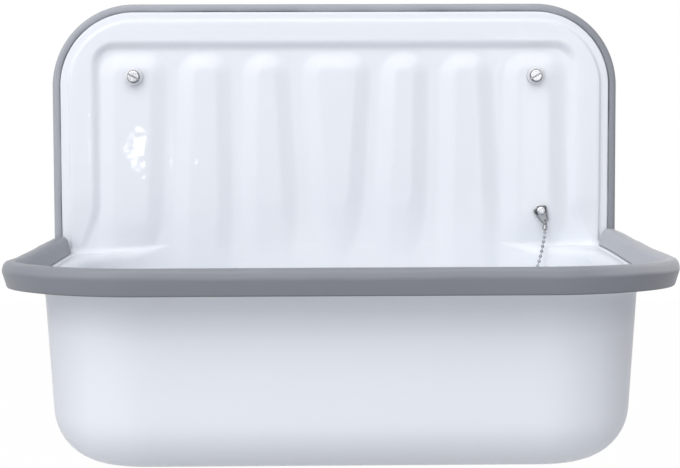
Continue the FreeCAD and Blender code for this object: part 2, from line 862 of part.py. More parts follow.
def make_chain():
    hang = s.ring_radius - s.ring_wire - s.bail_wire - 2 * s.thread_gap
    lean = math.radians(s.bail_lean.value)
    tip = FreeCAD.Vector(
        stay_across.value + s.bail_drop.value * math.sin(lean),
        -(washer_face + s.stay_neck / 2).value,
        stay_height.value - s.bail_drop.value * math.cos(lean) - hang.value,
    )
    eye = FreeCAD.Vector(
        (s.eye_radius - s.eye_wire - s.thread_gap + s.ring_radius - s.ring_wire).value,
        drain_y.value,
        eye_height.value,
    )
    return [
        make_cord("chain_upper", upper_route, s.chain_bead.value),
        make_cord("chain_lower", lower_route, s.chain_bead.value),
        make_coupling("chain_top_coupling", tip, FreeCAD.Vector(*upper_route[0]), s.ring_twist.value),
        make_coupling("chain_plug_coupling", eye, FreeCAD.Vector(*lower_route[-1]), 90),
    ]


# Waste outlet and plug, on one upright axis.
waste_seat_top = well_floor + s.top_seal_gauge
waste_top = waste_seat_top + s.waste_flange_gauge
slip_top = well_foot - s.bottom_seal_gauge
nut_top = slip_top - s.slip_gauge
nut_foot = nut_top - s.backnut_height
thread_foot = nut_foot - s.thread_over
outlet_foot = thread_foot - s.outlet_length
seal_bore = s.waste_thread_radius + s.fit_gap
seal_radius = s.waste_thread_radius + s.seal_over
outlet_bore = s.outlet_radius - s.outlet_wall
plug_seat = waste_top + s.fit_gap
plug_top = plug_seat + s.plug_lip
eye_height = plug_top + s.eye_plate_gauge + s.eye_radius + s.eye_wire / 2


def make_drain_piece(label, profile):
    body = new_body(label)
    turn(body, "turned", "YZ", NOTHING, drain_y, profile)
    return body


def make_waste_body():
    ledge = thread_foot + s.grid_gauge
    profile = [
        (outlet_bore, outlet_foot),
        (s.outlet_radius, outlet_foot),
        (s.outlet_radius, thread_foot),
        (s.waste_thread_radius, thread_foot),
        (s.waste_thread_radius, waste_seat_top),
        (waste_flange, waste_seat_top),
        (waste_flange, waste_top, s.waste_flange_round),
        (waste_mouth, waste_top),
        (waste_bore, waste_top - s.waste_seat),
        (waste_bore, ledge),
        (outlet_bore, ledge),
    ]
    body = make_drain_piece("waste_body", profile)
    reach = (outlet_bore + s.outlet_radius) / 2
    bars = (("bar_along", s.grid_bar / 2, reach), ("bar_across", reach, s.grid_bar / 2))
    for name, half_x, half_y in bars:
        sketch = new_sketch(body, name + "_plan", "XY", thread_foot)
        back = s.drain_back - half_y
        front = s.drain_back + half_y
        add_outline(sketch, plan_outline(half_x, front, back))
        extrude(body, "Pad", name, sketch, s.grid_gauge)
    return body


def make_waste_rings():
    rings = {
        "waste_top_seal": (seal_radius, well_floor, waste_seat_top),
        "waste_bottom_seal": (seal_radius, slip_top, well_foot),
        "waste_slip_washer": (seal_radius, nut_top, slip_top),
    }
    return [
        make_drain_piece(label, ring_profile(seal_bore, radius, foot, top))
        for label, (radius, foot, top) in rings.items()
    ]


def make_waste_backnut():
    body = new_body("waste_backnut")
    sketch = new_sketch(body, "plan", "XY", nut_foot)
    add_outline(sketch, hexagon(NOTHING, drain_y, s.waste_thread_radius + s.backnut_over))
    add_circle(sketch, 0, drain_y, s.waste_thread_radius + s.thread_gap)
    extrude(body, "Pad", "nut", sketch, s.backnut_height)
    return body


def make_plug():
    taper = (waste_mouth - waste_bore) / s.waste_seat
    shoulder = waste_mouth - s.fit_gap
    rim = waste_mouth + s.plug_over
    foot = plug_seat - s.plug_body
    stem_hole = s.eye_stem + s.fit_gap
    stem_end = plug_top - s.eye_stem_length - s.fit_gap
    profile = [
        (NOTHING, foot),
        (shoulder - taper * s.plug_body, foot, s.plug_round),
        (shoulder, plug_seat),
        (rim, plug_seat),
        (rim, plug_top, s.plug_round),
        (stem_hole, plug_top),
        (stem_hole, stem_end),
        (NOTHING, stem_end),
    ]
    return make_drain_piece("plug", profile)


def make_plug_eye():
    stem_foot = plug_top - s.eye_stem_length
    plate_top = plug_top + s.eye_plate_gauge
    profile = [
        (NOTHING, stem_foot),
        (s.eye_stem, stem_foot),
        (s.eye_stem, plug_top),
        (s.eye_plate_radius, plug_top),
        (s.eye_plate_radius, plate_top),
        (NOTHING, plate_top),
    ]
    plate = make_drain_piece("plug_eye_plate", profile)
    ring = doc.addObject("Part::Torus", "plug_eye_ring")
    bind(ring, "Radius1", s.eye_radius)
    bind(ring, "Radius2", s.eye_wire)
    ring.Placement.Rotation = FreeCAD.Rotation(FreeCAD.Vector(1, 0, 0), 90)
    place(ring, NOTHING, drain_y, eye_height)
    piece = doc.addObject("Part::Fuse", "plug_eye")
    piece.Label = "plug_eye"
    piece.Base = plate
    piece.Tool = ring
    doc.recompute()
    return piece


def check(pieces):
    for item in doc.Objects:
        if "Invalid" in item.State or "Error" in item.State:
            raise RuntimeError(f"{item.Label} is {item.State}")
    for piece in pieces:
        if piece.Shape.isNull() or not piece.Shape.isValid() or not piece.Shape.Solids:
            raise RuntimeError(f"{piece.Label} has no valid solid")


def main():
    pieces = [
        make_bowl(),
        make_splashback(),
        make_rim_guard(),
        make_edge_trim(),
        make_fixing_screws(),
        make_fixing_collars(),
        make_stay_screw(),
        *make_stay_washers(),
        make_stay_nut(),
        make_stay_bail(),
        *make_chain(),
        make_waste_body(),
        *make_waste_rings(),
        make_waste_backnut(),
        make_plug(),
        make_plug_eye(),
    ]
    doc.recompute()
    check(pieces)
    os.makedirs("parts", exist_ok=True)
    for piece in pieces:
        piece.Shape.exportStep(f"parts/{piece.Label}.step")
        print(piece.Label, len(piece.Shape.Solids), "solid,", round(piece.Shape.Volume), "mm3")


main()
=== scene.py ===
import bpy
import bmesh
import math
import numpy as np
from mathutils import Matrix, Vector


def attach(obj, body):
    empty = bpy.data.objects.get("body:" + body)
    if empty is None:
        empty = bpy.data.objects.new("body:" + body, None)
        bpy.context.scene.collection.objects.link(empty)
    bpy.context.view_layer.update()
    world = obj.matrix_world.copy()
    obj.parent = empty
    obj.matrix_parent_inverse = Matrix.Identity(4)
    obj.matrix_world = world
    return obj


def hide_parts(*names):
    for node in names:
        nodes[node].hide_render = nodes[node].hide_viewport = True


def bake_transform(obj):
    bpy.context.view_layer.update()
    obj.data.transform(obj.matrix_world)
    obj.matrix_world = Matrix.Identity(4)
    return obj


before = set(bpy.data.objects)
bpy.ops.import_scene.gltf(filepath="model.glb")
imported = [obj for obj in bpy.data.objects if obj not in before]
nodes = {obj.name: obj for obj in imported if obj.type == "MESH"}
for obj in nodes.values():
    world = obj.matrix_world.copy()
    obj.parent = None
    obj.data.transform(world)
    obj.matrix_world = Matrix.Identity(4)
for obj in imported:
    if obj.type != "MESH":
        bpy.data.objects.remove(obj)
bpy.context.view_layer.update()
mm = 0.001
print("frame loaded:", len(nodes), "nodes")


# camera, as the photograph was taken
viewpoint = {
    "place": (-26.36, -1657.84, -27.94),  # mm
    "yaw": 1.06,  # degrees towards +X
    "pitch": 4.0,  # down
    "roll": -0.18,
    "focalPixels": 1812.78,
    "imageWidth": 680,
    "sensor": 36.0,
    "clip": (0.05, 50.0),  # m
}


def placeCamera(v):
    yaw, pitch, roll = (math.radians(v[k]) for k in ("yaw", "pitch", "roll"))
    ahead = Vector((math.sin(yaw) * math.cos(pitch), math.cos(yaw) * math.cos(pitch), -math.sin(pitch)))
    right = Vector((math.cos(yaw), -math.sin(yaw), 0))
    up = right.cross(ahead)
    across = math.cos(roll) * right + math.sin(roll) * up
    upright = -math.sin(roll) * right + math.cos(roll) * up
    data = bpy.data.cameras.new("sinkCamera")
    data.sensor_width = v["sensor"]
    data.lens = v["focalPixels"] * v["sensor"] / v["imageWidth"]
    data.clip_start, data.clip_end = v["clip"]
    camera = bpy.data.objects.new("sinkCamera", data)
    turned = Matrix((across, upright, -ahead)).transposed().to_4x4()
    camera.matrix_world = Matrix.Translation(Vector(v["place"]) * mm) @ turned
    bpy.context.scene.collection.objects.link(camera)
    bpy.context.scene.camera = camera


placeCamera(viewpoint)
print("camera placed")


# shader sums
class Wire:
    def __init__(self, tree, socket=None):
        self.tree = tree
        self.socket = socket

    def add(self, kind, settings=None, sockets=None, out=0):
        node = self.tree.nodes.new(kind)
        for name, value in (settings or {}).items():
            if name == "stops":
                elements = node.color_ramp.elements
                while len(elements) < len(value):
                    elements.new(0.5)
                for stop, (position, shade) in zip(elements, value):
                    stop.position = position
                    stop.color = (shade, shade, shade, 1)
            else:
                setattr(node, name, value)
        for name, value in (sockets or {}).items():
            if isinstance(value, Wire):
                self.tree.links.new(value.socket, node.inputs[name])
            else:
                node.inputs[name].default_value = value
        return Wire(self.tree, node.outputs[out] if node.outputs else None)

    def sum(self, operation, first, second=0.0):
        return self.add("ShaderNodeMath", {"operation": operation}, {0: first, 1: second})

    def __add__(self, other):
        return self.sum("ADD", self, other)

    def __radd__(self, other):
        return self.sum("ADD", other, self)

    def __sub__(self, other):
        return self.sum("SUBTRACT", self, other)

    def __rsub__(self, other):
        return self.sum("SUBTRACT", other, self)

    def __mul__(self, other):
        return self.sum("MULTIPLY", self, other)

    def __rmul__(self, other):
        return self.sum("MULTIPLY", other, self)

    def __abs__(self):
        return self.sum("ABSOLUTE", self)


def newFinish(name, **constants):
    finish = bpy.data.materials.new(name)
    finish.use_nodes = True
    tree = finish.node_tree
    shader = tree.nodes["Principled BSDF"]
    for socket, value in constants.items():
        shader.inputs[socket.replace("_", " ")].default_value = value
    return finish, shader, Wire(tree)


def feed(shader, wire, **links):
    for socket, value in links.items():
        wire.tree.links.new(value.socket, shader.inputs[socket.replace("_", " ")])


def objectPlace(wire):
    return wire.add("ShaderNodeTexCoord", out="Object")


def surfaceNormal(wire):
    return wire.add("ShaderNodeNewGeometry", out="Normal")


def axes(wire, vector):
    first = wire.add("ShaderNodeSeparateXYZ", None, {0: vector})
    return [Wire(wire.tree, socket) for socket in first.socket.node.outputs]


def grain(wire, place, scale, detail=2.0, rough=0.5, warp=0.0):
    settings = {"noise_dimensions": "3D"}
    sockets = {"Vector": place, "Scale": scale, "Detail": detail, "Roughness": rough, "Distortion": warp}
    return wire.add("ShaderNodeTexNoise", settings, sockets)


def ramp(wire, value, *stops):
    return wire.add("ShaderNodeValToRGB", {"stops": stops}, {"Fac": value})


def spots(wire, place, scale, size):
    # one in the middle of scattered cells, nought from the size outwards
    cells = wire.add("ShaderNodeTexVoronoi", {"feature": "F1"}, {"Vector": place, "Scale": scale})
    return ramp(wire, cells, (0.0, 1.0), (size, 0.0))


def tint(wire, mask, first, second, blend="MIX"):
    sockets = {0: mask, 6: first, 7: second}
    return wire.add("ShaderNodeMix", {"data_type": "RGBA", "blend_type": blend}, sockets, out=2)


def bump(wire, height, depth, under=None):
    sockets = {"Height": height, "Distance": depth * mm, "Strength": 1.0}
    if under:
        sockets["Normal"] = under
    return wire.add("ShaderNodeBump", None, sockets)


# mesh helpers, all in millimetres
def ease(t):
    t = np.clip(t, 0, 1)
    return t * t * (3 - 2 * t)


def past(value, start, width):
    # nought up to the start, one from the width beyond it
    return ease((value - start) / width)


def fillMesh(mesh, points, faces):
    mesh.from_pydata([tuple(p * mm) for p in np.asarray(points, float)], [], faces)
    mesh.validate()
    mesh.polygons.foreach_set("use_smooth", [True] * len(mesh.polygons))


def newPiece(name, points, faces, finish):
    mesh = bpy.data.meshes.new(name)
    fillMesh(mesh, points, faces)
    mesh.materials.append(finish)
    piece = bpy.data.objects.new(name, mesh)
    bpy.context.scene.collection.objects.link(piece)
    return piece


def gridFaces(rows, columns, first=0, closed=False):
    faces = []
    for r in range(rows - 1):
        for c in range(columns if closed else columns - 1):
            d = (c + 1) % columns
            a = first + r * columns
            faces.append((a + c, a + d, a + columns + d, a + columns + c))
    return faces


def weld(piece, gap):
    kit = bmesh.new()
    kit.from_mesh(piece.data)
    bmesh.ops.remove_doubles(kit, verts=kit.verts, dist=gap * mm)
    bmesh.ops.dissolve_degenerate(kit, edges=kit.edges, dist=gap * mm / 4)
    bmesh.ops.recalc_face_normals(kit, faces=kit.faces)
    kit.to_mesh(piece.data)
    kit.free()


# ball chain, from the bail to the plug
chain = {
    "bead": 1.6,  # radius
    "pitch": 4.65,
    "link": 0.5,
    "mouth": 1.25,  # bead's opening round the link, in link radii
    "beadMesh": (13, 18),  # rings, sides
    "linkMesh": (9, 10),
    "curveSteps": 24,
    "metal": {
        "colour": (0.50, 0.51, 0.54, 1), "dark": (0.27, 0.28, 0.30, 1), "roughness": 0.14, "scratch": 0.01,
    },
    "upper": [(189.72, -21.55, -139.46), (189.2, -23.1, -145.0), (187.3, -28.6, -151.5),
              (185.2, -32.2, -159.5), (182.4, -34.9, -168.5), (179.4, -37.3, -178.0)],
    "lower": [(179.4, -37.3, -178.0), (175.95, -40.06, -188.925), (168.6, -45.0, -208.5),
              (158.8, -51.3, -230.5), (146.8, -58.8, -251.5), (133.0, -67.2, -269.9), (117.0, -77.0, -283.2),
              (98.5, -88.8, -289.6), (80.0, -102.5, -290.2), (63.5, -117.5, -290.2), (49.5, -133.0, -290.0),
              (37.0, -144.5, -288.2), (23.0, -149.8, -283.6), (11.2, -150.0, -283.2)],
}


def chainLine(name, points, steps):
    curve = bpy.data.curves.new(name, "CURVE")
    curve.dimensions = "3D"
    curve.resolution_u = steps
    spline = curve.splines.new("NURBS")
    spline.points.add(len(points) - 1)
    for knot, point in zip(spline.points, points):
        knot.co = (*point, 1)
    spline.order_u = 3
    spline.use_endpoint_u = True
    holder = bpy.data.objects.new(name, curve)
    bpy.context.scene.collection.objects.link(holder)
    bpy.context.view_layer.update()
    mesh = bpy.data.meshes.new_from_object(holder)
    line = np.array([v.co for v in mesh.vertices])
    bpy.data.objects.remove(holder)
    bpy.data.curves.remove(curve)
    bpy.data.meshes.remove(mesh)
    return line


def runMarks(points):
    # length along a line at each of its points
    return np.concatenate(([0], np.cumsum(np.linalg.norm(np.diff(points, axis=0), axis=1))))


def alongLine(line, runs):
    marks = runMarks(line)
    return np.stack([np.interp(runs, marks, line[:, i]) for i in range(3)], axis=1)


def spun(base, ahead, outline, sides):
    # rings of the outline (run, radius) round the line from base along ahead
    ahead = ahead / np.linalg.norm(ahead)
    side = np.cross(ahead, (0.3, 0.2, 1.0))  # any way that no link takes
    side /= np.linalg.norm(side)
    up = np.cross(side, ahead)
    angles = np.arange(sides) * 2 * math.pi / sides
    ring = np.cos(angles)[:, None] * side + np.sin(angles)[:, None] * up
    return np.concatenate([base + ahead * run + ring * radius for run, radius in outline])


def beadRow(name, line, c, finish):
    total = runMarks(line)[-1]
    count = int(round(total / c["pitch"]))
    pitch = total / count
    centres = alongLine(line, (np.arange(count) + 0.5) * pitch)
    fore = alongLine(line, (np.arange(count) + 0.55) * pitch)  # a little further on, for the direction
    points, faces = [], []

    def addSpun(base, ahead, outline, sides):
        first = sum(len(p) for p in points)
        last = first + (len(outline) - 1) * sides
        points.append(spun(base, ahead, outline, sides))
        faces.extend(face[::-1] for face in gridFaces(len(outline), sides, first, True))
        faces.append(tuple(range(first, first + sides)))
        faces.append(tuple(range(last + sides - 1, last - 1, -1)))

    rings, sides = c["beadMesh"]
    neck = c["link"] * c["mouth"]
    angles = np.linspace(0, math.pi, rings)
    ballOutline = [(-c["bead"] * math.cos(a), max(c["bead"] * math.sin(a), neck)) for a in angles]
    for centre, ahead in zip(centres, fore - centres):
        addSpun(centre, ahead, ballOutline, sides)
    rings, sides = c["linkMesh"]
    for i, joint in enumerate(alongLine(line, np.arange(count + 1) * pitch)):
        back = centres[i - 1] if i else joint
        front = centres[i] if i < count else joint
        span = np.linalg.norm(front - back)
        addSpun(back, front - back, [(span * k / (rings - 1), c["link"]) for k in range(rings)], sides)
    return newPiece(name, np.concatenate(points), faces, finish)


def depthMask(wire, place, face, run):
    # nought at the front face, one from the run behind it (mm)
    forward = axes(wire, place)[1]
    return ramp(wire, (forward * (1 / mm) - face) * (0.5 / run), (0.02, 0.0), (0.5, 1.0))


def paintedTurnShadeMask(wire, low, high):
    # painted shade: nought where the metal faces forwards, one where it turns away, more so to the right and
    # below
    x, y, z = axes(wire, surfaceNormal(wire))
    return ramp(wire, 1 + y + (x - z) * 0.12, (low, 0.0), (high, 1.0))


def coolGrey(tone):
    return (tone, tone, tone * 1.03, 1)


def bareMetal(name, m):
    # plated metal with a clouded sheen and fine rubbing marks, with painted shade in slots and behind the
    # front face, and on round edges turned away
    finish, shader, wire = newFinish(name, Metallic=1.0)
    place = objectPlace(wire)
    cloud = grain(wire, place, 140, 3)
    rub = grain(wire, place, 1400, 4, 0.6, 0.6)
    shade = tint(wire, cloud, m["colour"], m["dark"])
    # painted shade behind the front face, in slots and on the sides
    if "paintedSunkShade" in m:
        face, run, tone = m["paintedSunkShade"]
        shade = tint(wire, depthMask(wire, place, face, run), shade, coolGrey(tone))
    # painted shade on edges turned away from the front
    if "turned" in m:
        low, high, tone = m["turned"]
        shade = tint(wire, paintedTurnShadeMask(wire, low, high), shade, coolGrey(tone))
    feed(shader, wire, Base_Color=shade, Roughness=m["roughness"] + cloud * 0.1 + rub * 0.06,
         Normal=bump(wire, rub, m["scratch"]))
    return finish


def makeChain(c):
    finish = bareMetal("chainNickel", c["metal"])
    lines = {part: chainLine(part, c[part], c["curveSteps"]) for part in ("upper", "lower")}
    upper = beadRow("chainUpper", lines["upper"], c, finish)
    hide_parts("chain_upper")
    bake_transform(upper)
    lower = beadRow("chainLower", lines["lower"], c, finish)
    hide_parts("chain_lower")
    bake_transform(lower)
    return finish


chainFinish = makeChain(chain)
print("chain strung")


# enamelled steel: splashback and bowl in one pressed skin
skin = {
    "gauge": 2.0,
    "panelHalf": 248.0,
    "panelTop": 58.0,
    "panelCorner": 67.0,
    "edgeRoll": 9.5,  # width of the stepped margin along the panel's edge
    "marginDrop": 3.2,
    "margin": 6.4,  # flat strip beside the trim
    "marginRound": 1.8,
    "marginFoot": (0.3, 96.0, 40.0),  # share by which that step shallows below this depth, over this height
    "edgeBack": 2.0,  # turned back to this far from the wall
    "border": 17.2,  # wall to the border's face
    "recess": 12.0,
    "recessHalf": 218.0,
    "recessTop": 30.0,
    "recessCorner": 19.0,
    "step": (-1.4, 5.4),  # soft slope into the recess
    "footStep": (0.45, 104.0, 34.0),  # as marginFoot, for the step
    "flareFrom": -115.7,
    "flare": (0.5, 8.0),  # how steeply the recess widens, and how softly that starts
    "ribRise": 4.8,
    "ribCrown": 0.2,  # further rise towards a rib's middle
    "ribFlank": 15.0,
    "ribSoft": 0.2,  # share of the flank's slope that is eased
    "ribTop": 21.5,
    "ribRound": 20.0,
    "ribLevels": (9.5, -143.5),  # near the top, near the foot
    "ledge": -155.7,
    "cove": 5.0,  # radius behind the ledge
    "lip": (8.0, 13.0),  # radius over the bowl's edge at the rear and in front
    "lipGrows": (50.0, 130.0),  # from this far off the wall, over this length
    "draft": 3.5,
    "bowlHalf": 221.0,
    "bowlBack": -12.0,
    "bowlFront": -366.0,
    "bowlCorner": 76.0,
    "base": 40.0,
    "floor": -292.0,
    "flangeHalf": 248.7,
    "flangeFront": -393.7,
    "flangeCorner": 103.7,
    "groove": (13.1, 1.0, 1.25),  # beside the guard: inside the flange's edge, half width, depth
    "grooveFrom": (21.0, 8.0),  # from this far off the wall, over this length
    "drain": (0.0, -150.0),
    "well": (46.0, 41.0, 24.2),  # radii of the mouth, the seat and the hole
    "wellDrop": 3.0,
    "waves": (8.0, 15.0, 26),  # shortest, longest, how many
    "waveRise": 0.005,
    "waveSeed": 12,
    "waveSeam": 4,  # rows over which the waves fade at the grid's edge
    "mesh": 2.2,
    "marginMesh": (9, 5),  # rows over the step, over the rolled edge
    "aroundMesh": (14, 24, 34, 34),  # lines at the rear, along an arm, round a corner, along half the front
    "rimMesh": (14, 29),  # points in a bend, rows over the rim
    "grooveMesh": (5, 21),  # rows outside and inside the groove
    "bowlMesh": (6, 12, 5, 5),  # rows down the wall, round the base, across the floor, into the well
    "softPanel": (14.0, 12.0),  # back softened within this of the panel's edge, above the ledge by this
    "softFlange": (17.0, 3.0, 27.0),  # and within this of the flange's edge, near the ledge, off the wall
    "softRounds": 60,
    "ribs": [  # left and right flank near the top, near the foot, lower end, length of the fading foot
        (-205.4, -157.8, -208.2, -163.8, -160.0, 28.0),
        (-134.4, -100.8, -141.2, -99.7, -204.0, 64.0),
        (-76.7, -48.7, -80.4, -39.3, -168.0, 52.0),
        (-23.5, 25.6, -12.3, 16.8, -168.0, 52.0),
        (47.9, 77.5, 40.4, 75.3, -168.0, 52.0),
        (101.3, 134.8, 99.6, 142.7, -204.0, 64.0),
        (159.2, 201.2, 157.9, 202.9, -160.0, 28.0),
    ],
    "sag": {  # this rim stands out of level: low along the left arm, with a dip and a high rear on the right
        "below": (112.0, 26.0),  # from this depth, over this height
        "until": (175.0, 70.0),
        "beside": (140.0, 90.0),  # from this far off the middle, over this width
        "left": (-3.6, 372.0, 150.0),  # rise, from this far off the wall, over this length
        "dip": (-1.6, 396.0, 110.0, 210.0, 150.0),  # then gone again from here, over this length
        "rear": (1.5, 210.0, 170.0),
    },
    "enamel": {
        "white": ((0.80, 0.825, 0.88, 1), (0.83, 0.85, 0.895, 1)),  # between these in slow clouds
        "thin": (0.68, 0.70, 0.75, 1),  # painted shade round the bowl's sides
        "dulled": (0.87, 0.87, 0.875, 1),  # painted shadow below the guard: share of the white that is left
        "thick": (1.055, 1.055, 1.045, 1),  # painted light at the panel's foot
        "pinhole": (0.62, 0.64, 0.68, 1),
        "swell": 0.14,  # mm, slow waves left by firing
        "peel": 0.1,
    },
}


def roundedInside(side, above, r):
    # distance inside an edge with a rounded corner
    corner = r - np.hypot(np.maximum(r - side, 0), np.maximum(r - above, 0))
    return np.where((side < r) & (above < r), corner, np.minimum(side, above))


def ribField(x, z, k):
    # how far the ribs stand forward of the recess
    top, low = k["ribLevels"]
    level = (top - z) / (top - low)
    field = np.zeros_like(x)
    flank = k["ribFlank"]
    for leftTop, rightTop, leftFoot, rightFoot, foot, fade in k["ribs"]:
        left = leftTop + (leftFoot - leftTop) * level
        right = rightTop + (rightFoot - rightTop) * level
        inside = np.minimum(x - left, right - x) + flank / 2
        above = np.minimum(k["ribTop"] - z, (z - foot) * flank / fade)
        reach = roundedInside(inside, above, k["ribRound"]) / flank
        crown = k["ribCrown"] * (1 - np.clip(1 - 2 * inside / (right - left + flank), 0, 1) ** 2)
        slope = k["ribSoft"] * ease(reach) + (1 - k["ribSoft"]) * np.clip(reach, 0, 1)
        field = np.maximum(field, (k["ribRise"] + crown) * slope)
    return field


def settle(points, s):
    x, y, z = points.T
    band = past(-z, *s["below"]) * (1 - past(-z, *s["until"]))
    rise, off, length = s["left"]
    left = rise * past(-x, *s["beside"]) * past(y, -off, length)
    rise, off, length, end, fade = s["dip"]
    dip = rise * past(x, *s["beside"]) * past(y, -off, length) * (1 - past(y, -end, fade))
    rise, off, length = s["rear"]
    rear = rise * past(x, *s["beside"]) * past(y, -off, length)
    moved = points.copy()
    moved[:, 2] += band * (left + dip + rear)
    return moved


def borderField(x, z, k):
    # wall to the face of the border and the recess
    widen = np.maximum(k["flareFrom"] - z, 0)
    steep, soft = k["flare"]
    half = k["recessHalf"] + steep * widen * widen / (widen + soft)
    inside = roundedInside(half - np.abs(x), k["recessTop"] - z, k["recessCorner"])
    low, high = k["step"]
    share, depth, height = k["footStep"]
    foot = 1 - share * past(-z, depth, height)
    return k["recess"] + (k["border"] - k["recess"]) * (1 - past(inside, low, high - low)) * foot


def ripple(x, z, k):
    # faint waves of the fired glaze, seen only in its highlights
    mix = np.random.default_rng(k["waveSeed"])
    field = np.zeros_like(x)
    for length in np.linspace(*k["waves"]):
        turn, start = mix.random(2) * 2 * math.pi
        field += np.sin(2 * math.pi / length * (x * math.cos(turn) + z * math.sin(turn)) + start)
    rows, columns = np.indices(x.shape)
    fromSeam = np.minimum.reduce((rows, x.shape[0] - 1 - rows, columns, x.shape[1] - 1 - columns))
    return k["waveRise"] * field * ease(fromSeam / k["waveSeam"])


def panelInner(k):
    # half width, top and corner radius of the panel inside its margin
    return (k[size] - k["edgeRoll"] for size in ("panelHalf", "panelTop", "panelCorner"))


def panelPlan(k):
    half, top, r = panelInner(k)
    foot = k["ledge"] + k["cove"]
    share = np.linspace(0, 1, int(r / k["mesh"]) + 1)
    middle = np.linspace(r - half, half - r, int(2 * (half - r) / k["mesh"]) + 1)
    lift = np.linspace(foot, top - r, int((top - r - foot) / k["mesh"]) + 1)
    a = np.concatenate((-share[::-1], np.zeros(len(middle) - 2), share))
    baseX = np.concatenate((np.full(len(share), r - half), middle[1:-1], np.full(len(share), half - r)))
    b = np.concatenate((np.zeros(len(lift) - 1), share))
    baseZ = np.concatenate((lift[:-1], np.full(len(share), top - r)))
    a, b = np.meshgrid(a, b)
    baseX, baseZ = np.meshgrid(baseX, baseZ)
    return baseX + r * a * np.sqrt(1 - b * b / 2), baseZ + r * b * np.sqrt(1 - a * a / 2)


def panelEdge(x, z, k):
    # rolled and turned-back edge, from the left foot over the top to the right foot
    half, top, r = panelInner(k)
    rim = [(x[i, 0], z[i, 0]) for i in range(len(x))]
    rim += [(x[-1, j], z[-1, j]) for j in range(1, x.shape[1] - 1)]
    rim += [(x[i, -1], z[i, -1]) for i in range(len(x) - 1, -1, -1)]
    rim = np.array([(-half, k["ledge"])] + rim + [(half, k["ledge"])])
    core = np.stack((np.clip(rim[:, 0], r - half, half - r), np.minimum(rim[:, 1], top - r)), axis=1)
    out = rim - core
    out /= np.linalg.norm(out, axis=1)[:, None]
    face = borderField(rim[:, 0], rim[:, 1], k)
    wide, drop, roll = k["edgeRoll"], k["marginDrop"], k["marginRound"]
    stepRows, rollRows = k["marginMesh"]
    profile = [(0.0, 0.0)]  # outwards, backwards
    for share in np.linspace(0, 1, stepRows)[1:]:
        profile.append(((wide - k["margin"]) * share, drop * ease(share)))
    profile.append((wide - (k["margin"] + roll) / 2, drop))
    for turn in np.linspace(0, math.pi / 2, rollRows):
        profile.append((wide - roll * (1 - math.sin(turn)), drop + roll * (1 - math.cos(turn))))
    share, depth, height = k["marginFoot"]
    shallow = 1 - share * past(-rim[:, 1], depth, height)
    rows = []
    for outwards, back in profile:
        at = rim + out * outwards
        rows.append(np.stack((at[:, 0], back * shallow - face, at[:, 1]), axis=1))
    level = face - profile[-1][1] * shallow
    for share in (0.5, 1):
        rows.append(np.stack((at[:, 0], -(level + (k["edgeBack"] - level) * share), at[:, 1]), axis=1))
    return np.stack(rows)


def flangeGroove(points, k):
    # line pressed into the flange beside the guard
    inset, half, depth = k["groove"]
    coreX = k["flangeHalf"] - k["flangeCorner"]
    coreY = k["flangeFront"] + k["flangeCorner"]
    x, y, z = np.abs(points[:, 0]), points[:, 1], points[:, 2]
    inside = k["flangeCorner"] - np.hypot(np.maximum(x - coreX, 0), np.maximum(coreY - y, 0))
    dent = np.clip(1 - np.abs(inside - inset) / half, 0, 1) * past(-y, *k["grooveFrom"])
    onLedge = np.abs(z - k["ledge"]) < 0.5
    moved = points.copy()
    moved[:, 2] -= depth * dent * onLedge
    return moved


def bowlStarts(panelFoot, k):
    # lines down the bowl: where they start, which way, how far to its edge, whether below the panel
    sideX = k["bowlHalf"] - k["bowlCorner"]
    backY = k["bowlBack"] - k["bowlCorner"]
    frontY = k["bowlFront"] + k["bowlCorner"]
    coreX = k["flangeHalf"] - k["flangeCorner"]
    coreY = k["flangeFront"] + k["flangeCorner"]
    rearCount, armCount, cornerCount, frontCount = k["aroundMesh"]
    starts = []
    for x, y in panelFoot:
        if abs(x) <= sideX:
            starts.append((x, y, (0.0, -1.0), max(y - k["bowlBack"], 0.0), True))
        else:
            way = np.array((math.copysign(sideX, x), backY)) - (x, y)
            far = np.linalg.norm(way)
            starts.append((x, y, tuple(way / far), far - k["bowlCorner"], True))
    lead = math.atan2(k["bowlCorner"], panelFoot[-1][0] - sideX)
    sides = []
    for angle in np.linspace(lead, 0, rearCount)[1:-1]:
        ray = np.array((math.cos(angle), math.sin(angle)))
        far = min((k["flangeHalf"] - sideX) / ray[0], (k["bowlBack"] - backY) / ray[1])
        sides.append((sideX + ray[0] * far, backY + ray[1] * far, tuple(-ray), far - k["bowlCorner"], False))
    for y in np.linspace(backY, frontY, armCount):
        sides.append((k["flangeHalf"], y, (-1.0, 0.0), k["flangeHalf"] - k["bowlHalf"], False))
    for angle in np.linspace(0, math.pi / 2, cornerCount)[1:-1]:
        ray = np.array((math.cos(angle), -math.sin(angle)))
        edge = np.array((coreX, coreY)) + ray * k["flangeCorner"]
        inner = np.array((sideX, frontY)) + ray * k["bowlCorner"]
        way = inner - edge
        sides.append((edge[0], edge[1], tuple(way / np.linalg.norm(way)), np.linalg.norm(way), False))
    for x in np.linspace(sideX, 0, frontCount):
        sides.append((x, k["flangeFront"], (0.0, 1.0), k["bowlFront"] - k["flangeFront"], False))
    mirrored = [(-x, y, (-w[0], w[1]), reach, rear) for x, y, w, reach, rear in sides[-2::-1]]
    return starts + sides + mirrored


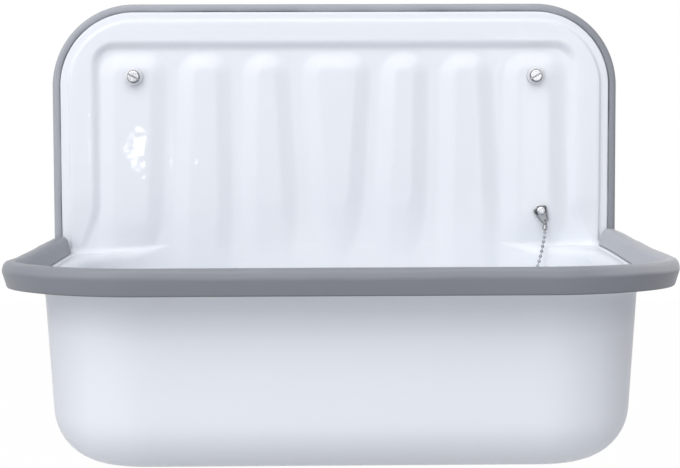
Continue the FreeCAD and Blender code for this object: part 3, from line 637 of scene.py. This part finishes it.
def rimPath(y, reach, rear, k):
    # section over the rim, as the way inwards and the height: cove or ledge, then the lip
    draft = math.radians(k["draft"])
    cove, bends = k["cove"], k["rimMesh"][0]
    lip = k["lip"][0] + (k["lip"][1] - k["lip"][0]) * float(past(-y, *k["lipGrows"]))
    if rear:
        tilt = math.acos(max(min((cove + lip * math.cos(draft) - reach) / (cove + lip), 1), 0))
        tilt = max(tilt, draft)
        run = max(reach - cove - lip * math.cos(draft), 0)
        angles = np.linspace(0, tilt, bends)
        path = [(cove * (1 - math.cos(t)), k["ledge"] + cove - cove * math.sin(t)) for t in angles]
        w, z = path[-1]
        path.append((w + run, z))
    else:
        tilt = math.pi / 2
        path = [(0.0, k["ledge"]), (reach - lip * math.cos(draft), k["ledge"])]
    w, z = path[-1]
    for t in np.linspace(tilt, draft, bends)[1:]:
        path.append((w + lip * (math.cos(t) - math.cos(tilt)), z - lip * (math.sin(tilt) - math.sin(t))))
    over = np.array(path)
    w, z = over[-1]
    rimEnd = k["ledge"] - lip * (1 - math.sin(draft))
    if z - rimEnd > 0.01:
        over = np.vstack((over, (w + (z - rimEnd) * math.tan(draft), rimEnd)))
    return over


def bowlColumn(x, y, way, reach, rear, k):
    # one line from the rim down to the drain
    draft = math.radians(k["draft"])
    baseTop = k["floor"] + k["base"] * (1 - math.sin(draft))
    wallRows, turnRows, flatRows, dropRows = k["bowlMesh"]
    over = rimPath(y, reach, rear, k)
    marks = runMarks(over)
    at = np.linspace(0, marks[-1], k["rimMesh"][1])
    if not rear:
        inset, half, _ = k["groove"]
        onArm = y > k["flangeFront"] + k["flangeCorner"]
        cross = (inset - k["flangeHalf"] + abs(x)) / abs(way[0]) if onArm else inset
        dent = cross + half * np.array((-0.5, 0.0, 0.5, 1.0))
        outside, inside = k["grooveMesh"]
        at = np.concatenate((np.linspace(0, cross - half, outside), dent,
                             np.linspace(dent[-1], marks[-1], inside)[1:]))
    rows = np.stack((np.interp(at, marks, over[:, 0]), np.interp(at, marks, over[:, 1])), axis=1)
    w, z = over[-1]
    wall = [(w + (z - level) * math.tan(draft), level) for level in np.linspace(z, baseTop, wallRows)[1:]]
    w = wall[-1][0]
    turn = [(w + k["base"] * (math.cos(draft) - math.cos(t)),
             baseTop - k["base"] * (math.sin(t) - math.sin(draft)))
            for t in np.linspace(draft, math.pi / 2, turnRows)[1:]]
    rows = np.vstack((rows, wall, turn))
    column = np.stack((x + way[0] * rows[:, 0], y + way[1] * rows[:, 0], rows[:, 1]), axis=1)
    if rear:
        column[:, 1] -= ribField(column[:, 0], column[:, 2], k)
    foot = column[-1, :2]
    drain = np.array(k["drain"])
    ray = foot - drain
    ray /= np.linalg.norm(ray)
    mouth, inner, hole = k["well"]
    edge = drain + ray * mouth
    seatLevel = k["floor"] - k["wellDrop"]
    flat = [np.append(foot + (edge - foot) * t, k["floor"]) for t in np.linspace(0, 1, flatRows)[1:]]
    drop = [np.append(drain + ray * (mouth + (inner - mouth) * t), k["floor"] - k["wellDrop"] * ease(t))
            for t in np.linspace(0, 1, dropRows)[1:]]
    seat = [np.append(drain + ray * (inner + (hole - inner) * t), seatLevel) for t in (0.5, 1)]
    return np.vstack((column, flat, drop, seat))


def enamelFinish(e):
    finish, shader, wire = newFinish("whiteEnamel", Specular_IOR_Level=0.0, Coat_Roughness=0.04, Coat_IOR=1.5)
    place = objectPlace(wire)
    cloud = grain(wire, place, 7, 3)
    swell = grain(wire, place, 26, 1)
    peel = grain(wire, place, 120, 2)
    pinhole = spots(wire, place, 160.0, 0.05)
    colour = tint(wire, cloud, *e["white"])
    right, back, up = axes(wire, place)  # m
    across, forward, low = abs(right) * 4, back * -4, up * -4
    # painted shade on the bowl's sides below the rim
    sides = ramp(wire, across, (0.74, 0.0), (0.93, 1.0)) * ramp(wire, low, (0.64, 0.0), (0.72, 1.0))
    colour = tint(wire, sides, colour, e["thin"])
    # painted shadow on the bowl's front just below the guard
    dulled = ramp(wire, low, (0.63, 0.0), (0.645, 1.0), (0.69, 1.0), (0.775, 0.0))
    dulled = dulled * ramp(wire, forward, (0.4, 0.0), (0.95, 1.0))
    colour = tint(wire, dulled, colour, e["dulled"], "MULTIPLY")
    # painted light on the panel's lower part, fading out towards the left
    thick = ramp(wire, low, (0.40, 0.0), (0.58, 1.0)) * (1 - ramp(wire, forward, (0.35, 0.0), (0.7, 1.0)))
    thick = thick * ramp(wire, right * 2 + 0.5, (0.2, 0.0), (0.45, 1.0))
    colour = tint(wire, thick, colour, e["thick"], "MULTIPLY")
    feed(shader, wire, Base_Color=tint(wire, pinhole * 0.12, colour, e["pinhole"]),
         Roughness=0.1 + cloud * 0.06, Coat_Weight=0.4 + peel * 0.1,
         Normal=bump(wire, peel, e["peel"], bump(wire, swell, e["swell"])))
    return finish


def innerSide(piece, k):
    # back of the sheet, offset from a softened front so that the tight bends don't fold over
    mesh = piece.data
    count = len(mesh.vertices)
    front = np.array([v.co for v in mesh.vertices]) / mm
    faces = [tuple(p.vertices) for p in mesh.polygons]
    ways = {(a, b) for face in faces for a, b in zip(face, face[1:] + face[:1])}
    rim = [(a, b) for a, b in sorted(ways) if (b, a) not in ways]
    x, y, z = np.abs(front[:, 0]), front[:, 1], front[:, 2]
    r = k["panelCorner"]
    fromPanel = r - np.hypot(np.maximum(x - k["panelHalf"] + r, 0), np.maximum(z - k["panelTop"] + r, 0))
    r = k["flangeCorner"]
    fromFlange = r - np.hypot(np.maximum(x - k["flangeHalf"] + r, 0), np.maximum(k["flangeFront"] + r - y, 0))
    width, above = k["softPanel"]
    soft = (fromPanel < width) & (z > k["ledge"] + above)
    width, above, off = k["softFlange"]
    soft |= (fromFlange < width) & (z < k["ledge"] + above) & (y < -off)
    soft[np.array(rim).ravel()] = False
    links = np.array([e.vertices[:] for e in mesh.edges])
    links = np.concatenate((links, links[:, ::-1]))
    degree = np.bincount(links[:, 0], minlength=count)
    back = front.copy()
    for _ in range(k["softRounds"]):
        pull = np.stack([np.bincount(links[:, 0], back[links[:, 1], i], count) for i in range(3)], axis=1)
        back[soft] += 0.5 * (pull / degree[:, None] - back)[soft]
    fans = np.array([(f[0], f[i], f[i + 1]) for f in faces for i in range(1, len(f) - 1)])
    cross = np.cross(back[fans[:, 1]] - back[fans[:, 0]], back[fans[:, 2]] - back[fans[:, 0]])
    normal = [sum(np.bincount(fans[:, j], cross[:, i], count) for j in range(3)) for i in range(3)]
    normal = np.stack(normal, axis=1)
    back -= k["gauge"] * normal / np.linalg.norm(normal, axis=1)[:, None]
    faces += [tuple(v + count for v in face[::-1]) for face in faces]
    faces += [(b, a, a + count, b + count) for a, b in rim]
    mesh.clear_geometry()
    fillMesh(mesh, np.concatenate((front, back)), faces)


def makeSkin(k):
    x, z = panelPlan(k)
    y = -(borderField(x, z, k) + ribField(x, z, k) + ripple(x, z, k))
    points = [np.stack((x, y, z), axis=2).reshape(-1, 3)]
    faces = gridFaces(*x.shape)
    edge = panelEdge(x, z, k)
    faces += gridFaces(edge.shape[0], edge.shape[1], len(points[0]))
    points.append(edge.reshape(-1, 3))
    foot = [(x[0, j], -borderField(x[0, j], z[0, j], k)) for j in range(x.shape[1])]
    bowl = np.stack([bowlColumn(*start, k) for start in bowlStarts(foot, k)], axis=1)
    faces += gridFaces(bowl.shape[0], bowl.shape[1], sum(len(p) for p in points), True)
    points.append(bowl.reshape(-1, 3))
    pressed = settle(flangeGroove(np.concatenate(points), k), k["sag"])
    piece = newPiece("enamelSkin", pressed, faces, enamelFinish(k["enamel"]))
    weld(piece, 0.05)
    panel = [p for p in piece.data.polygons if p.center.z > 0 and abs(p.center.x) < 0.2]
    if sum(p.normal.y for p in panel) > 0:
        piece.data.flip_normals()
    innerSide(piece, k)
    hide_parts("bowl", "splashback")
    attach(piece, "sink")
    return piece


enamelSkin = makeSkin(skin)
print("enamel skin pressed:", len(enamelSkin.data.vertices), "points")


# grey moulded strips
def rounded(corners, steps):
    # closed section with its corners rounded: (x, y, radius)
    out = []
    total = len(corners)
    for i, (x, y, radius) in enumerate(corners):
        here = np.array((x, y), float)
        before = np.array(corners[i - 1][:2], float) - here
        after = np.array(corners[(i + 1) % total][:2], float) - here
        if radius <= 0:
            out.append(here)
            continue
        a = before / np.linalg.norm(before)
        b = after / np.linalg.norm(after)
        half = math.acos(np.clip(a @ b, -1, 1)) / 2
        longest = 0.49 * min(np.linalg.norm(before), np.linalg.norm(after))
        run = min(radius / math.tan(half), longest)
        radius = run * math.tan(half)
        middle = here + (a + b) / np.linalg.norm(a + b) * radius / math.sin(half)
        start = here + a * run - middle
        turnLeft = math.copysign(1, a[0] * b[1] - a[1] * b[0])
        sweepAngle = math.pi - 2 * half
        for k in range(steps + 1):
            t = -turnLeft * sweepAngle * k / steps
            out.append(middle + np.array((start[0] * math.cos(t) - start[1] * math.sin(t),
                                          start[0] * math.sin(t) + start[1] * math.cos(t))))
    return np.array(out)


def stripLine(s, start, end):
    # outer edge of a strip, up one side, round the corner and along, with its inward direction
    half, corner, step = s["half"], s["corner"], s["step"]
    way = math.copysign(1, end - start)
    core = end - way * corner
    line = [((-half, v), (1.0, 0.0)) for v in np.linspace(start, core, int(abs(core - start) / step))]
    turns = int(corner * math.pi / 2 / step)
    for t in np.linspace(0, math.pi / 2, turns + 1)[1:]:
        ray = np.array((-math.cos(t), way * math.sin(t)))
        line.append((tuple(np.array((corner - half, core)) + ray * corner), tuple(-ray)))
    straight = np.linspace(corner - half, 0, int((half - corner) / step))[1:]
    line += [((x, end), (0.0, -way)) for x in straight]
    return line + [((-x, v), (-a, b)) for (x, v), (a, b) in line[-2::-1]]


def waver(line, seed, waves):
    # slow unevenness of a moulded strip: (length, height) pairs
    run = np.concatenate(([0], np.cumsum([math.dist(a[0], b[0]) for a, b in zip(line, line[1:])])))
    mix = np.random.default_rng(seed)
    return sum(height * np.sin(2 * math.pi * (run / length + mix.random())) for length, height in waves)


def roundedEnds(line, radius):
    # stations, with some more close to both ends and the inset that rounds them
    turns = [math.pi / 2 * t for t in np.linspace(0, 1, 5)[:-1]]
    out = [(0, radius * (1 - math.cos(t)), radius * (1 - math.sin(t))) for t in turns]
    middle = [(i, 0.0, 0.0) for i in range(1, len(line) - 1)]
    ends = [(len(line) - 1, back, inset) for _, back, inset in out[::-1]]
    return out + middle + ends


def shrunk(section, inset):
    # section drawn in towards its middle
    if not inset:
        return section.copy()
    low, high = section.min(axis=0), section.max(axis=0)
    middle = (low + high) / 2
    return middle + (section - middle) * (1 - inset / np.mean(high - middle))


def sweep(name, stations, finish):
    # stations: closed sections of equal count along the strip, ends closed
    count = len(stations[0])
    faces = gridFaces(len(stations), count, closed=True)
    faces.append(tuple(range(count)))
    last = (len(stations) - 1) * count
    faces.append(tuple(range(last + count - 1, last - 1, -1)))
    piece = newPiece(name, np.concatenate(stations), faces, finish)
    weld(piece, 0.001)
    return piece


def stripFinish(name, v):
    # soft vinyl: fine moulding grain, clouding and a few dark specks, and painted lighting towards the right
    # in the tone given for that side
    finish, shader, wire = newFinish(name, IOR=1.45)
    place = objectPlace(wire)
    cloud = grain(wire, place, 16, 3)
    fine = grain(wire, place, 900, 3, 0.6)
    colour = tint(wire, cloud * 0.8 + fine * 0.2, v["deep"], v["pale"])
    # painted lighting towards the right
    paintedSideLighting = ramp(wire, axes(wire, place)[0] * 2.5, (0.42, 0.0), (0.59, 1.0))
    if "under" in v:  # painted shade where it faces down, without the painted lighting from the right there, and a painted shadow line along the foot
        rise = axes(wire, surfaceNormal(wire))[2] * 0.5 + 0.5
        upward = ramp(wire, rise, (0.40, 0.0), (0.58, 1.0))
        paintedSideLighting = paintedSideLighting * upward
        # painted shade on faces turned down, then a painted shadow line along the foot
        colour = tint(wire, (1 - upward) * 0.7, colour, v["under"])
        colour = tint(wire, ramp(wire, rise, (0.12, 0.7), (0.32, 0.0)), colour, v["paintedFootShadow"])
    colour = tint(wire, paintedSideLighting, colour, v["right"])
    speck = spots(wire, place, 34.0, 0.035)
    feed(shader, wire, Base_Color=tint(wire, speck * 0.6, colour, v["speck"]),
         Roughness=v["roughness"] + fine * 0.14, Normal=bump(wire, fine, 0.03))
    return finish


guard = {
    "half": 255.0,
    "rear": -18.3,
    "front": -400.0,
    "corner": 110.0,
    "foot": -160.0,
    "section": [  # inwards from the outer face, up from the foot, radius
        (3.6, 0.0, 1.8), (14.0, 0.0, 0.6), (14.0, 2.0, 0.3), (6.0, 2.0, 0.3), (6.0, 4.6, 0.3),
        (16.0, 4.6, 0.8), (12.2, 20.0, 6.0), (1.6, 20.0, 6.6), (-0.2, 12.9, 7.0),
    ],
    "bend": 6,  # steps in a rounded corner
    "step": 5.0,
    "endRound": 1.6,
    "wave": (4, [(310, 0.3), (118, 0.22), (47, 0.12)]),  # seed, (length, height): the ridge wanders
    "sway": (9, [(240, 0.25), (83, 0.15)]),
    "loose": (6.0, 8.0),  # both from this far above the foot, over this height
    "crest": 19.2,  # stays level from here up
    "outer": 2.0,  # stays straight as far in as this
    "vinyl": {
        # the colour towards the right is painted light, the colour for downward faces painted shade, and the
        # colour for the foot a painted shadow
        "pale": (0.27, 0.282, 0.316, 1), "deep": (0.22, 0.231, 0.262, 1), "right": (0.44, 0.45, 0.48, 1),
        "under": (0.203, 0.212, 0.241, 1), "paintedFootShadow": (0.08, 0.083, 0.092, 1), "speck": (0.08, 0.08, 0.085, 1),
        "roughness": 0.36,
    },
}


def makeGuard(g):
    section = rounded(g["section"], g["bend"])
    line = stripLine(g, g["rear"], g["front"])
    wave = waver(line, *g["wave"])
    sway = waver(line, *g["sway"])
    stations = []
    for i, back, inset in roundedEnds(line, g["endRound"]):
        (x, y), inwards = line[i]
        shape = shrunk(section, inset)
        high = past(shape[:, 1], *g["loose"])
        shape[:, 1] += wave[i] * high * (shape[:, 1] < g["crest"])
        shape[:, 0] += sway[i] * high * (shape[:, 0] > g["outer"])
        flat = np.array((x, y - back)) + shape[:, :1] * np.array(inwards)
        stations.append(settle(np.column_stack((flat, g["foot"] + shape[:, 1])), skin["sag"]))
    piece = sweep("rimGuard", stations, stripFinish("guardVinyl", g["vinyl"]))
    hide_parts("rim_guard")
    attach(piece, "sink")


makeGuard(guard)
print("rim guard moulded")

trim = {
    "half": 255.0,
    "top": 65.0,
    "corner": 74.0,
    "foot": -155.4,
    "section": [  # inwards from the outer face, forwards from the wall, radius
        (0.0, 0.2, 0.4), (0.0, 14.0, 3.0), (6.7, 14.0, 2.4), (6.7, 1.7, 0.0), (9.3, 1.7, 0.0),
        (9.3, 9.0, 0.6), (11.3, 9.0, 0.6), (11.3, 0.2, 0.4),
    ],
    "bend": 6,
    "step": 4.0,
    "endRound": 0.8,
    "wave": (17, [(190, 0.28), (71, 0.2), (33, 0.1)]),  # of the inner lip
    "waveLift": 0.5,  # share of it forwards
    "lipFront": (8.0, 5.0),  # from this far off the wall, over this depth
    "lipInner": (2.0, 4.0, 7.5),  # from this far in, over this width, up to this
    "vinyl": {
        # the colour towards the right is painted shade
        "pale": (0.412, 0.427, 0.468, 1), "deep": (0.345, 0.358, 0.396, 1), "right": (0.265, 0.276, 0.306, 1),
        "speck": (0.08, 0.08, 0.085, 1), "roughness": 0.34,
    },
}


def makeTrim(t):
    section = rounded(t["section"], t["bend"])
    line = stripLine(t, t["foot"], t["top"])
    wave = waver(line, *t["wave"])
    start, width, end = t["lipInner"]
    stations = []
    for i, back, inset in roundedEnds(line, t["endRound"]):
        (x, z), inwards = line[i]
        shape = shrunk(section, inset)
        lip = past(shape[:, 1], *t["lipFront"]) * past(shape[:, 0], start, width) * (shape[:, 0] < end)
        shape[:, 0] += wave[i] * lip
        shape[:, 1] += t["waveLift"] * wave[i] * lip
        flat = np.array((x, z + back)) + shape[:, :1] * np.array(inwards)
        stations.append(np.column_stack((flat[:, 0], -shape[:, 1], flat[:, 1])))
    piece = sweep("edgeTrim", stations, stripFinish("trimVinyl", t["vinyl"]))
    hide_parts("edge_trim")
    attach(piece, "sink")


makeTrim(trim)
print("edge trim moulded")


# finishes of the fittings
metals = {
    "screwNickel": {
        "colour": (0.69, 0.71, 0.75, 1), "dark": (0.56, 0.58, 0.62, 1), "roughness": 0.16, "scratch": 0.02,
        "paintedSunkShade": (-26.0, 0.6, 0.36),  # painted shade behind the front face: its place, run (mm) and tone
        "turned": (0.12, 0.4, 0.1),  # painted shade round the edge: start and end of the turn, tone
        "nodes": ["fixing_screws"],
    },
    "stayNickel": {
        "colour": (0.76, 0.77, 0.79, 1), "dark": (0.6, 0.61, 0.63, 1), "roughness": 0.14, "scratch": 0.015,
        # painted shade behind the head's face and round its edge
        "paintedSunkShade": (-24.4, 1.8, 0.3), "turned": (0.22, 0.5, 0.08), "nodes": ["stay_screw"],
    },
    "washerNickel": {
        "colour": (0.74, 0.75, 0.77, 1), "dark": (0.58, 0.59, 0.61, 1), "roughness": 0.18, "scratch": 0.015,
        "nodes": ["stay_washer", "stay_rear_washer", "stay_nut"],
    },
    "bailNickel": {
        "colour": (0.52, 0.53, 0.55, 1), "dark": (0.24, 0.245, 0.255, 1), "roughness": 0.14, "scratch": 0.015,
        # painted shade on the wire's sides
        "turned": (0.15, 0.6, 0.06), "nodes": ["stay_bail", "chain_top_coupling"],
    },
    "wasteChrome": {
        "colour": (0.78, 0.79, 0.80, 1), "dark": (0.64, 0.65, 0.67, 1), "roughness": 0.1, "scratch": 0.01,
        "nodes": ["waste_body", "waste_slip_washer"],
    },
}
mouldings = {
    "collarNylon": {
        "pale": (0.82, 0.83, 0.86, 1), "deep": (0.76, 0.77, 0.81, 1), "roughness": 0.28, "grain": 0.01,
        # painted shade round the collar's foot, behind its face
        "paintedSunkShade": (-20.4, 1.0, (0.3, 0.31, 0.33, 1)), "nodes": ["fixing_collars"],
    },
    "sealRubber": {
        "pale": (0.06, 0.06, 0.062, 1), "deep": (0.035, 0.035, 0.037, 1), "roughness": 0.5, "grain": 0.03,
        "nodes": ["waste_top_seal", "waste_bottom_seal"],
    },
    "nutNylon": {
        "pale": (0.62, 0.63, 0.65, 1), "deep": (0.52, 0.53, 0.55, 1), "roughness": 0.36, "grain": 0.03,
        "nodes": ["waste_backnut"],
    },
    "plugRubber": {
        "pale": (0.055, 0.055, 0.058, 1), "deep": (0.03, 0.03, 0.032, 1), "roughness": 0.42, "grain": 0.04,
        "nodes": ["plug"],
    },
}


def plainMoulding(name, m):
    # moulded nylon or rubber with a dull grain, with painted shade behind its front face
    finish, shader, wire = newFinish(name)
    place = objectPlace(wire)
    cloud = grain(wire, place, 60, 3)
    fine = grain(wire, place, 1600, 3, 0.65)
    shade = tint(wire, cloud * 0.7 + fine * 0.3, m["deep"], m["pale"])
    # painted shade behind the front face
    if "paintedSunkShade" in m:
        face, run, grey = m["paintedSunkShade"]
        shade = tint(wire, depthMask(wire, place, face, run), shade, grey)
    feed(shader, wire, Base_Color=shade, Roughness=m["roughness"] + fine * 0.15,
         Normal=bump(wire, fine, m["grain"]))
    return finish


def dress(finish, names):
    for name in names:
        mesh = nodes[name].data
        mesh.materials.clear()
        mesh.materials.append(finish)


for finishName, metal in metals.items():
    dress(bareMetal(finishName, metal), metal["nodes"])
for finishName, moulding in mouldings.items():
    dress(plainMoulding(finishName, moulding), moulding["nodes"])
dress(chainFinish, ["chain_plug_coupling", "plug_eye"])
print("fittings finished")


# floor, light and sky, in metres
studio = {
    "floor": -0.62,
    "floorReach": (0.4, 4.0),  # innermost ring, outermost
    "floorMesh": (6, 48),  # rings, sides
    "floorTone": ((0.75, 0.765, 0.79, 1), (0.78, 0.79, 0.81, 1)),
    "floorWhite": 0.985,  # share of plain white where the floor is seen, the rest keeps the shadow
    "skyLow": 0.08,  # away from the window side
    "skyHigh": 0.8,
    "skyFrom": (-0.45, -0.82, 0.35),
    "skyTone": (0.97, 0.98, 1, 1),
    "white": {"Color": (1, 1, 1, 1), "Strength": 1.0},  # behind the sink, as seen
    "lamps": [  # name, place, aim, width, height, power
        ("keyLamp", (-2.4, -2.5, 1.5), (0.0, -0.1, -0.05), 3.2, 3.0, 36.2),
        ("topLamp", (-0.1, -1.25, 1.5), (0.0, -0.05, 0.0), 2.2, 1.0, 15.2),
        ("windowLamp", (-0.455, -3.2, -0.14), (-0.1, 0.0, -0.08), 0.095, 0.07, 0.34),
        ("stripLamp", (0.58, -3.2, -0.27), (0.15, 0.0, -0.08), 0.2, 0.85, 1.5),
        ("fillLamp", (-0.3, -2.6, -0.45), (0.0, -0.3, -0.25), 2.4, 0.3, 0.8),
    ],
}


def seenRays(wire):
    # camera, mirror and glass rays see plain white
    camera, mirror, glass = (wire.add("ShaderNodeLightPath", out=f"Is {kind} Ray")
                             for kind in ("Camera", "Glossy", "Transmission"))
    return wire.sum("MAXIMUM", wire.sum("MAXIMUM", camera, mirror), glass)


def makeFloor(s):
    rings, sides = s["floorMesh"]
    points = [(0.0, 0.0, 0.0)]
    for radius in np.linspace(*s["floorReach"], rings):
        turns = np.linspace(0, 2 * math.pi, sides + 1)[:-1]
        points += [(radius * math.cos(a), radius * math.sin(a), 0.0) for a in turns]
    faces = [(0, 1 + i, 1 + (i + 1) % sides) for i in range(sides)] + gridFaces(rings, sides, 1, True)
    finish, shader, wire = newFinish("paleFloor", Roughness=0.9)
    mottle = grain(wire, objectPlace(wire), 3, 3)
    feed(shader, wire, Base_Color=tint(wire, mottle, *s["floorTone"]))
    white = wire.add("ShaderNodeEmission", None, s["white"])
    matt = Wire(wire.tree, shader.outputs[0])
    mixed = wire.add("ShaderNodeMixShader", None, {0: seenRays(wire) * s["floorWhite"], 1: matt, 2: white})
    wire.tree.links.new(mixed.socket, wire.tree.nodes["Material Output"].inputs["Surface"])
    floor = newPiece("paleFloor", np.array(points) / mm, faces, finish)
    floor.location.z = s["floor"]


def makeSky(s):
    world = bpy.data.worlds.new("paleSky")
    bpy.context.scene.world = world
    world.use_nodes = True
    world.node_tree.nodes.clear()
    wire = Wire(world.node_tree)
    source = Vector(s["skyFrom"]).normalized()
    way = wire.add("ShaderNodeTexCoord")
    facing = wire.add("ShaderNodeVectorMath", {"operation": "DOT_PRODUCT"}, {0: way, 1: source}, out="Value")
    level = s["skyLow"] + (s["skyHigh"] - s["skyLow"]) * (facing * 0.5 + 0.5)
    light = wire.add("ShaderNodeBackground", None, {"Color": s["skyTone"], "Strength": level})
    white = wire.add("ShaderNodeBackground", None, s["white"])
    mixed = wire.add("ShaderNodeMixShader", None, {0: seenRays(wire), 1: light, 2: white})
    wire.add("ShaderNodeOutputWorld", None, {"Surface": mixed})


def makeLamps(s):
    for name, place, aim, width, height, power in s["lamps"]:
        data = bpy.data.lights.new(name, "AREA")
        data.shape = "RECTANGLE"
        data.size = width
        data.size_y = height
        data.energy = power
        lamp = bpy.data.objects.new(name, data)
        way = Vector(aim) - Vector(place)
        lamp.location = place
        lamp.rotation_euler = way.to_track_quat("-Z", "Y").to_euler()
        bpy.context.scene.collection.objects.link(lamp)


makeFloor(studio)
makeSky(studio)
makeLamps(studio)
bpy.context.scene.view_settings.view_transform = "Standard"
print("studio lit")

bpy.context.view_layer.update()
